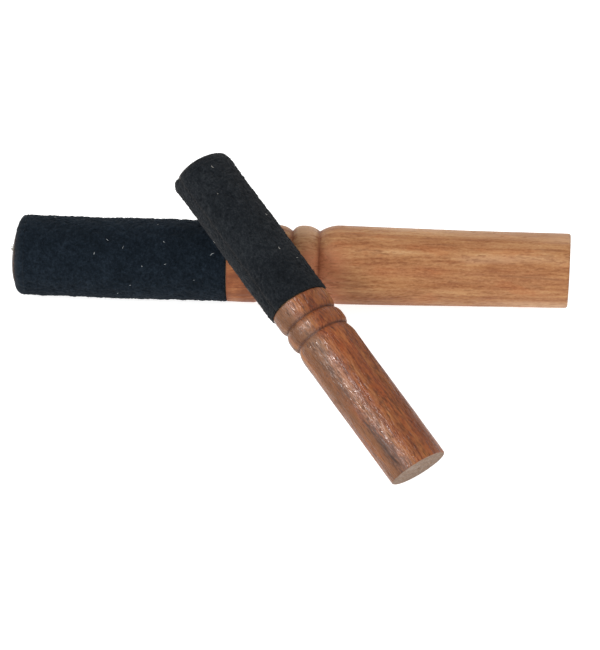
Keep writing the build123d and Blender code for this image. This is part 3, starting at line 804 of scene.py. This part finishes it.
class Nodes:
    """A short way to write a node tree."""

    def __init__(self, name):
        self.mat = bpy.data.materials.new(name)
        self.mat.use_nodes = True
        self.tree = self.mat.node_tree
        self.tree.nodes.clear()
        self.out = self.tree.nodes.new("ShaderNodeOutputMaterial")
        self.shader = self.tree.nodes.new("ShaderNodeBsdfPrincipled")
        self.link(self.shader.outputs[0], self.out.inputs["Surface"])

    def link(self, a, b):
        self.tree.links.new(a, b)

    def put(self, node, key, value):
        socket = node.inputs[key]
        if isinstance(value, bpy.types.NodeSocket):
            self.link(value, socket)
        else:
            socket.default_value = value

    def math(self, op, a, b=0.0, c=0.0, clamp=False):
        n = self.tree.nodes.new("ShaderNodeMath")
        n.operation, n.use_clamp = op, clamp
        for i, v in enumerate((a, b, c)):
            self.put(n, i, v)
        return n.outputs[0]

    def mix(self, f, a, b, mode="MIX"):
        n = self.tree.nodes.new("ShaderNodeMix")
        n.data_type, n.blend_type = "RGBA", mode
        self.put(n, 0, f)
        self.put(n, 6, a)
        self.put(n, 7, b)
        return n.outputs[2]

    def ramp(self, f, stops):
        n = self.tree.nodes.new("ShaderNodeValToRGB")
        e = n.color_ramp.elements
        while len(e) < len(stops):
            e.new(0.5)
        for el, (pos, col) in zip(e, stops):
            el.position, el.color = pos, col
        self.put(n, 0, f)
        return n.outputs[0]

    def map(self, f, lo, hi, to_lo=0.0, to_hi=1.0):
        n = self.tree.nodes.new("ShaderNodeMapRange")
        n.interpolation_type = "SMOOTHSTEP"
        for i, v in enumerate((f, lo, hi, to_lo, to_hi)):
            self.put(n, i, v)
        return n.outputs[0]

    def attribute(self, name):
        n = self.tree.nodes.new("ShaderNodeAttribute")
        n.attribute_name = name
        return n.outputs["Fac"]

    def coordinates(self):
        return self.tree.nodes.new("ShaderNodeTexCoord").outputs["Object"]

    def local(self, stick):
        """Object coordinates turned into the mallet's own: x along it, y and z across it, in mm."""
        m = self.tree.nodes.new("ShaderNodeMapping")
        rot = Matrix((Vector(stick.along), Vector(stick.side), Vector(stick.up)))
        self.link(self.coordinates(), m.inputs[0])
        m.inputs["Scale"].default_value = (1 / MM, 1 / MM, 1 / MM)
        m.inputs["Rotation"].default_value = rot.to_euler("XYZ")
        m.inputs["Location"].default_value = -(rot @ Vector(stick.origin))
        return m.outputs[0]

    def vector(self, op, a, b):
        n = self.tree.nodes.new("ShaderNodeVectorMath")
        n.operation = op
        self.put(n, 0, a)
        self.put(n, 1, b)
        return n.outputs[0]

    def noise(self, vec, scale, detail, rough, color=False):
        n = self.tree.nodes.new("ShaderNodeTexNoise")
        self.put(n, "Vector", vec)
        self.put(n, "Scale", scale)
        self.put(n, "Detail", detail)
        self.put(n, "Roughness", rough)
        return n.outputs["Color" if color else "Fac"]

    def grain(self, vec, along, across, detail=1.0, rough=0.5, color=False):
        """Noise drawn out along the mallet, with so many cells to the mm along and across it."""
        stretched = self.vector("MULTIPLY", vec, (along, across, across))
        return self.noise(stretched, 1.0, detail, rough, color)

    def vary(self, f, amount, by):
        """f moved up and down by a value that goes round 0.5."""
        return self.math("MULTIPLY_ADD", self.math("SUBTRACT", by, 0.5), amount, f)

    def bump(self, height, strength, distance, before=None):
        n = self.tree.nodes.new("ShaderNodeBump")
        self.put(n, "Strength", strength)
        self.put(n, "Distance", distance)
        self.put(n, "Height", height)
        if before is not None:
            self.link(before, n.inputs["Normal"])
        return n.outputs[0]

    def surface(self, values):
        """Sets or links the shader's inputs, and gives the finished material."""
        for key, value in values.items():
            self.put(self.shader, key, value)
        return self.mat


def wood(name, stick, look):
    k = Nodes(name)
    p = k.local(stick)
    # slow waves of the grain, and short kinks, carry the finer layers with them
    q = p
    for shift, size in ((k.grain(p, 0.018, 0.10, 2.0, color=True), look["wave"]),
                        (k.grain(p, 0.12, 0.30, color=True), look["kink"])):
        q = k.vector("ADD", q, k.vector("MULTIPLY", shift, (0.0, size, size)))
    parts = k.tree.nodes.new("ShaderNodeSeparateXYZ")
    k.link(q, parts.inputs[0])
    x, y, z = parts.outputs
    # growth rings round a pith well outside the stick, so they show as long bands and cathedrals
    dy = k.math("SUBTRACT", y, look["pith"][0])
    dz = k.math("SUBTRACT", k.math("MULTIPLY_ADD", x, look["lean"], z), look["pith"][1])
    dist = k.math("SQRT", k.math("ADD", k.math("MULTIPLY", dy, dy), k.math("MULTIPLY", dz, dz)))
    ring = k.math("SINE", k.math("MULTIPLY", dist, TURN / look["ring"]))
    ring = k.math("MULTIPLY_ADD", ring, 0.5, 0.5)
    broad = k.grain(q, 0.024, 0.26, 3.0, 0.55)
    streak = k.grain(q, 0.085, 0.95, 2.0)
    fine = k.grain(q, 0.20, 1.8)
    speck = k.grain(p, 0.9, 1.7, 1.0, 0.6)
    dash = k.grain(q, 0.42, 3.4)
    tone, pore, cavity, cap = (k.attribute(key) for key in ("tone", "pore", "cavity", "cap"))
    f = look["centre"]
    for amount, layer in zip(look["amounts"], (ring, broad, streak, fine, speck)):
        f = k.vary(f, amount, layer)
    base = k.ramp(k.math("MULTIPLY_ADD", tone, look["tone"], f), look["stops"])
    # hue drifts in patches between redder and yellower wood
    hue = k.grain(q, 0.075, 0.20, 3.0, 0.6)
    base = k.mix(k.map(hue, 0.50, 0.68, 0.0, look["drift"]), base, look["red"], "MULTIPLY")
    base = k.mix(k.map(hue, 0.34, 0.50, look["drift"], 0.0), base, look["yellow"], "MULTIPLY")
    # paler wood where the tone is high: the small stick's sapwood, and on the large stick its own
    # paler wood together with the painted sheen and painted lifts of large_tone
    base = k.mix(k.map(tone, 0.25, 1.2, 0.0, look["pale_tone"]), base, look["pale_tone_colour"])
    base = k.mix(k.map(tone, *look["turn"], look["heart"], 0.0), base, look["red"], "MULTIPLY")
    # salmon blush on the large stick's last bead and shoulder, partly a painted lift against the
    # small mallet's shadow
    blush_and_lift = k.math("MULTIPLY", k.attribute("blush_and_lift"), k.map(fine, 0.3, 0.7, 0.55, 0.95))
    base = k.mix(blush_and_lift, base, lin(172, 105, 72))
    # fine dark dashes between the modelled pores, then the pores, the veins and the grooves
    base = k.mix(k.map(dash, 0.63, 0.73, 0.0, look["dash"]), base, look["dark"])
    base = k.mix(k.math("MULTIPLY", pore, look["pore"], clamp=True), base, look["pore_colour"])
    vein = k.math("MULTIPLY", k.attribute("streak"), k.map(fine, 0.30, 0.62, 0.5, 1.0))
    base = k.mix(vein, base, look["vein"])
    base = k.mix(k.math("MULTIPLY", cavity, 0.85), base, look["groove"])
    # end grain: soft rings cut across, soft mottling and pore dots
    flat = k.vector("MULTIPLY", p, (0.25, 1.0, 1.0))
    dots = k.map(k.noise(flat, 4.2, 1.0, 0.5), 0.56, 0.70, 0.0, 0.40)
    blur = k.noise(flat, 1.5, 3.0, 0.6)
    end = k.math("MULTIPLY_ADD", ring, 0.12, k.math("MULTIPLY", blur, 0.85))
    end = k.mix(dots, k.ramp(end, look["end_stops"]), look["dark"])
    base = k.mix(cap, base, end)
    stain = k.math("MULTIPLY", k.attribute("stain"), k.map(blur, 0.3, 0.6, 0.85, 1.0))
    base = k.mix(stain, base, look["stained"])
    rough = k.vary(look["rough"], look["rough_vary"], fine)
    rough = k.vary(rough, look["rough_vary"], streak)
    rough = k.math("MULTIPLY_ADD", pore, 0.25, rough)
    rough = k.math("MULTIPLY_ADD", cap, 0.25, rough)
    height = k.math("MULTIPLY_ADD", fine, 1.2, k.math("MULTIPLY", dash, -0.6))
    height = k.math("MULTIPLY_ADD", speck, 0.15, height)
    dent = k.bump(k.grain(q, 0.36, 1.35, 2.0, 0.55), look["dent"], 0.0006)
    return k.surface({
        "Base Color": base,
        "Roughness": k.math("MULTIPLY_ADD", cavity, 0.15, rough, clamp=True),
        # specular level scaled per point: on the small stick a painted highlight band where the key
        # light's reflection falls
        "Specular IOR Level": k.math("MULTIPLY", k.attribute("specular_scale"), look["specular"]),
        "Specular Tint": look["glint"],
        "Normal": k.bump(height, look["bump"], 0.00020, dent),
    })


def stops(*items):
    return [(pos, lin(*rgb)) for pos, rgb in items]


pale_wood = wood(
    "pale_wood", LARGE,
    {
        "wave": 2.2, "kink": 0.6, "pith": (-34.0, 22.0), "lean": 0.030, "ring": 4.2, "centre": 0.50,
        "amounts": (0.12, 1.05, 0.66, 0.30, 0.50), "tone": 0.15, "turn": (-2.2, -0.7),
        "stops": stops(
            (0.0, (104, 60, 33)), (0.28, (128, 80, 47)), (0.5, (144, 98, 62)),
            (0.72, (157, 114, 76)), (1.0, (172, 134, 96)),
        ),
        "drift": 0.50, "red": (1.07, 0.87, 0.76, 1.0), "yellow": (1.02, 1.00, 0.90, 1.0),
        "pale_tone": 0.60, "pale_tone_colour": lin(178, 141, 109), "heart": 0.6,
        "dash": 0.42, "dark": lin(98, 54, 33),
        "pore": 0.45, "pore_colour": lin(98, 52, 31),
        "vein": lin(92, 48, 28), "groove": lin(108, 50, 29), "stained": lin(26, 16, 13),
        "end_stops": stops((0.2, (132, 92, 64)), (0.8, (170, 134, 104))),
        "rough": 0.55, "rough_vary": 0.35, "specular": 0.24, "bump": 0.35, "dent": 0.15,
        "glint": lin(255, 250, 245),
    },
)
red_brown_wood = wood(
    "red_brown_wood", SMALL,
    {
        "wave": 2.4, "kink": 1.0, "pith": (20.0, -26.0), "lean": 0.045, "ring": 3.8, "centre": 0.50,
        "amounts": (0.12, 1.00, 0.80, 0.50, 0.55), "tone": 0.04, "turn": (-0.9, -0.2),
        "stops": stops(
            (0.0, (75, 33, 15)), (0.28, (103, 50, 22)), (0.5, (123, 67, 31)),
            (0.72, (138, 82, 42)), (1.0, (156, 102, 59)),
        ),
        "drift": 0.70, "red": (1.05, 0.83, 0.58, 1.0), "yellow": (0.98, 1.07, 0.88, 1.0),
        "pale_tone": 0.80, "pale_tone_colour": lin(87, 54, 27), "heart": 0.40,
        "dash": 0.25, "dark": lin(60, 30, 18),
        "pore": 0.70, "pore_colour": lin(50, 26, 16),
        "vein": lin(38, 19, 11), "groove": lin(62, 31, 18), "stained": lin(22, 15, 12),
        "end_stops": stops((0.2, (96, 74, 57)), (0.8, (131, 106, 85))),
        "rough": 0.40, "rough_vary": 0.80, "specular": 0.66, "bump": 0.62, "dent": 0.62,
        "glint": lin(255, 248, 244),
    },
)


def suede(name, stick, look):
    k = Nodes(name)
    p = k.local(stick)
    patch = k.noise(p, 0.09, 3.0, 0.55)
    mid = k.noise(p, 0.55, 2.0, 0.5)
    grain = k.noise(p, 1.9, 2.0, 0.7)
    f = k.vary(k.vary(k.vary(0.5, 0.5, patch), 0.25, mid), look["grain"], grain)
    base = k.ramp(k.math("MULTIPLY_ADD", k.attribute("nap"), look["nap"], f), look["stops"])
    # paler edges: wear, and on the rolled tip rim a painted sheen
    worn = k.math("MULTIPLY", k.attribute("worn"), k.map(grain, 0.35, 0.7))
    height = k.math("ADD", k.math("MULTIPLY", grain, 0.9), k.math("MULTIPLY", mid, 0.4))
    return k.surface({
        "Base Color": k.mix(k.math("MULTIPLY", worn, 0.5), base, look["worn"]),
        "Roughness": k.math("MULTIPLY_ADD", grain, 0.10, 0.88),
        "Specular IOR Level": 0.05,
        "Sheen Weight": look["sheen"], "Sheen Roughness": 0.6, "Sheen Tint": look["tint"],
        "Normal": k.bump(height, 0.8, 0.00030),
    })


def fibre(name, colour, sheen):
    values = {"Base Color": colour, "Roughness": 0.9, "Specular IOR Level": 0.1}
    return Nodes(name).surface({**values, "Sheen Weight": sheen})


blue_black_suede = suede(
    "blue_black_suede", LARGE,
    {
        "stops": stops((0.05, (3, 8, 13)), (0.5, (12, 19, 26)), (0.95, (26, 34, 42))),
        "grain": 1.7, "nap": 0.08, "worn": lin(42, 35, 33),
        "sheen": 0.03, "tint": lin(200, 215, 230),
    },
)
charcoal_suede = suede(
    "charcoal_suede", SMALL,
    {
        "stops": stops((0.05, (7, 11, 15)), (0.5, (18, 22, 26)), (0.95, (33, 36, 39))),
        "grain": 2.1, "nap": 0.09, "worn": lin(44, 40, 37),
        "sheen": 0.05, "tint": lin(225, 222, 220),
    },
)
large_fibres = [
    fibre("large_fibre_dark", lin(12, 18, 23), 0.0),
    fibre("large_fibre_mid", lin(26, 32, 38), 0.0),
    fibre("large_fibre_light", lin(44, 50, 55), 0.05),
    fibre("large_lint", lin(150, 154, 155), 0.1),
]
small_fibres = [
    fibre("small_fibre_dark", lin(20, 23, 26), 0.0),
    fibre("small_fibre_mid", lin(34, 36, 39), 0.0),
    fibre("small_fibre_light", lin(54, 54, 54), 0.05),
    fibre("small_lint", lin(158, 155, 148), 0.1),
]


def glue():
    k = Nodes("dried_glue")
    n = k.noise(k.coordinates(), 260.0, 4.0, 0.6)
    return k.surface({
        "Base Color": k.ramp(n, stops((0.3, (92, 66, 38)), (0.7, (150, 122, 82)))),
        "Roughness": k.math("MULTIPLY_ADD", n, 0.3, 0.3),
        "Normal": k.bump(n, 0.5, 0.0001),
    })


glue_mat = glue()


# ---- who is what
def dress(obj, mats, body, nodes):
    for m in mats:
        obj.data.materials.append(m)
    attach(obj, body)
    if nodes:
        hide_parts(*nodes)


dress(large_stick, [pale_wood], "large_mallet", ["large_stick"])
dress(small_stick, [red_brown_wood], "small_mallet", ["small_stick"])
dress(large_sleeve, [blue_black_suede], "large_mallet", ["large_suede_sleeve"])
dress(small_sleeve, [charcoal_suede], "small_mallet", ["small_suede_sleeve"])
dress(large_nap, large_fibres, "large_mallet", [])
dress(small_nap, small_fibres, "small_mallet", [])
fray_fibre = fibre("large_fray_fibre", lin(128, 122, 112), 0.0)
dress(large_fray, [fray_fibre], "large_mallet", [])
for node in ("large_adhesive_film", "small_adhesive_film"):
    for cad_slot in frame["nodes"][node].material_slots:
        cad_slot.link = "OBJECT"
        cad_slot.material = glue_mat


# ---- floor, light, camera
def floor():
    """A pale ground that glows a little, so that it shows as the photograph's white."""
    half, below = 3.0 / MM, 0.02                           # mm; just under the mallets
    corners = [(x * half, y * half, 0.0) for x, y in ((-1, -1), (1, -1), (1, 1), (-1, 1))]
    obj = new_mesh("floor", corners, [(0, 1, 2, 3)], smooth_shade=False)
    obj.location.z = -below * MM
    k = Nodes("pale_floor")
    greys = [(0.0, (0.50, 0.50, 0.50, 1)), (1.0, (0.53, 0.53, 0.53, 1))]
    obj.data.materials.append(k.surface({
        "Base Color": k.ramp(k.noise(k.coordinates(), 90.0, 3.0, 0.5), greys),
        "Roughness": 0.9, "Specular IOR Level": 0.1,
        "Emission Color": (1.0, 1.0, 1.0, 1.0), "Emission Strength": 0.84,
    }))


def softbox(name, direction, distance, size, power, target):
    data = bpy.data.lights.new(name, "AREA")
    data.shape, data.size, data.size_y, data.energy = "RECTANGLE", size[0], size[1], power
    obj = bpy.data.objects.new(name, data)
    bpy.context.scene.collection.objects.link(obj)
    d = Vector(direction).normalized()
    obj.location = Vector(target) + d * distance
    obj.rotation_euler = d.to_track_quat("Z", "Y").to_euler()


floor()
world = bpy.data.worlds.new("studio")
bpy.context.scene.world = world
world.use_nodes = True
background = world.node_tree.nodes["Background"]
background.inputs["Color"].default_value = (1.0, 1.0, 1.0, 1.0)
background.inputs["Strength"].default_value = 0.96
softbox("key_softbox", (-0.66, -0.27, 0.70), 1.3, (0.35, 0.35), 11.0, (0, 0, 0.02))
softbox("front_fill", (0.15, -0.95, 0.35), 1.5, (1.0, 0.6), 6.0, (0, 0, 0.02))
bpy.context.scene.view_settings.view_transform = "Standard"

camera = bpy.data.cameras.new("camera")
camera.sensor_width, camera.lens = SENSOR_MM, FOCAL_PX * SENSOR_MM / PICTURE_PX
camera.clip_start, camera.clip_end = 0.05, 20.0
camera_obj = bpy.data.objects.new("camera", camera)
bpy.context.scene.collection.objects.link(camera_obj)
turned = Matrix((Vector(right), Vector(upward), Vector(back))).transposed().to_4x4()
camera_obj.matrix_world = Matrix.Translation(Vector(EYE) * MM) @ turned
bpy.context.scene.camera = camera_obj
